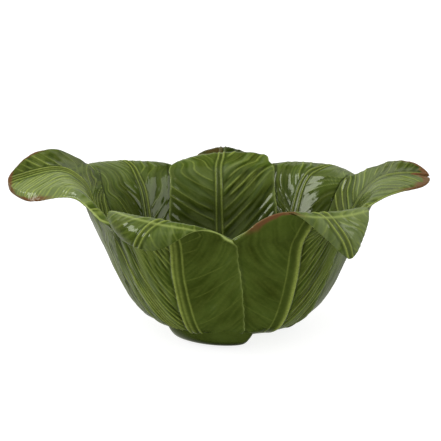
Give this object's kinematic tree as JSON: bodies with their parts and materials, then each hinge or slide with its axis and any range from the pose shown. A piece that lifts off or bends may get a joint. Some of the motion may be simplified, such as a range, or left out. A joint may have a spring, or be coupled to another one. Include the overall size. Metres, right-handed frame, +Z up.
{
  "type": "leaf-shaped soup tureen bowl",
  "caption": "Open footed serving bowl of overlapping ribbed leaves with two leaf handles, folded front lobes and a green glaze.",
  "frame": {"origin": "centre of the whole object's footprint, on the surface that the feet stand on", "axes": "+X from the left handle's tip to the right handle's tip, +Y from the folded front leaves to the back leaf, +Z up"},
  "size_m": [0.3991, 0.3175, 0.1645],
  "materials": {
    "leaf_glaze": "gloss",
    "well_glaze": "gloss",
    "foot_glaze": "gloss"
  },
  "bodies": {
    "root": {"well_floor": "well_glaze", "foot_front": "foot_glaze", "foot_right": "foot_glaze", "foot_rear": "foot_glaze", "leaf_left_handle": "leaf_glaze", "leaf_right_handle": "leaf_glaze", "leaf_front_left": "leaf_glaze", "leaf_front_right": "leaf_glaze", "leaf_back_left": "leaf_glaze", "leaf_back_center": "leaf_glaze", "leaf_back_right": "leaf_glaze"}
  },
  "joints": []
}
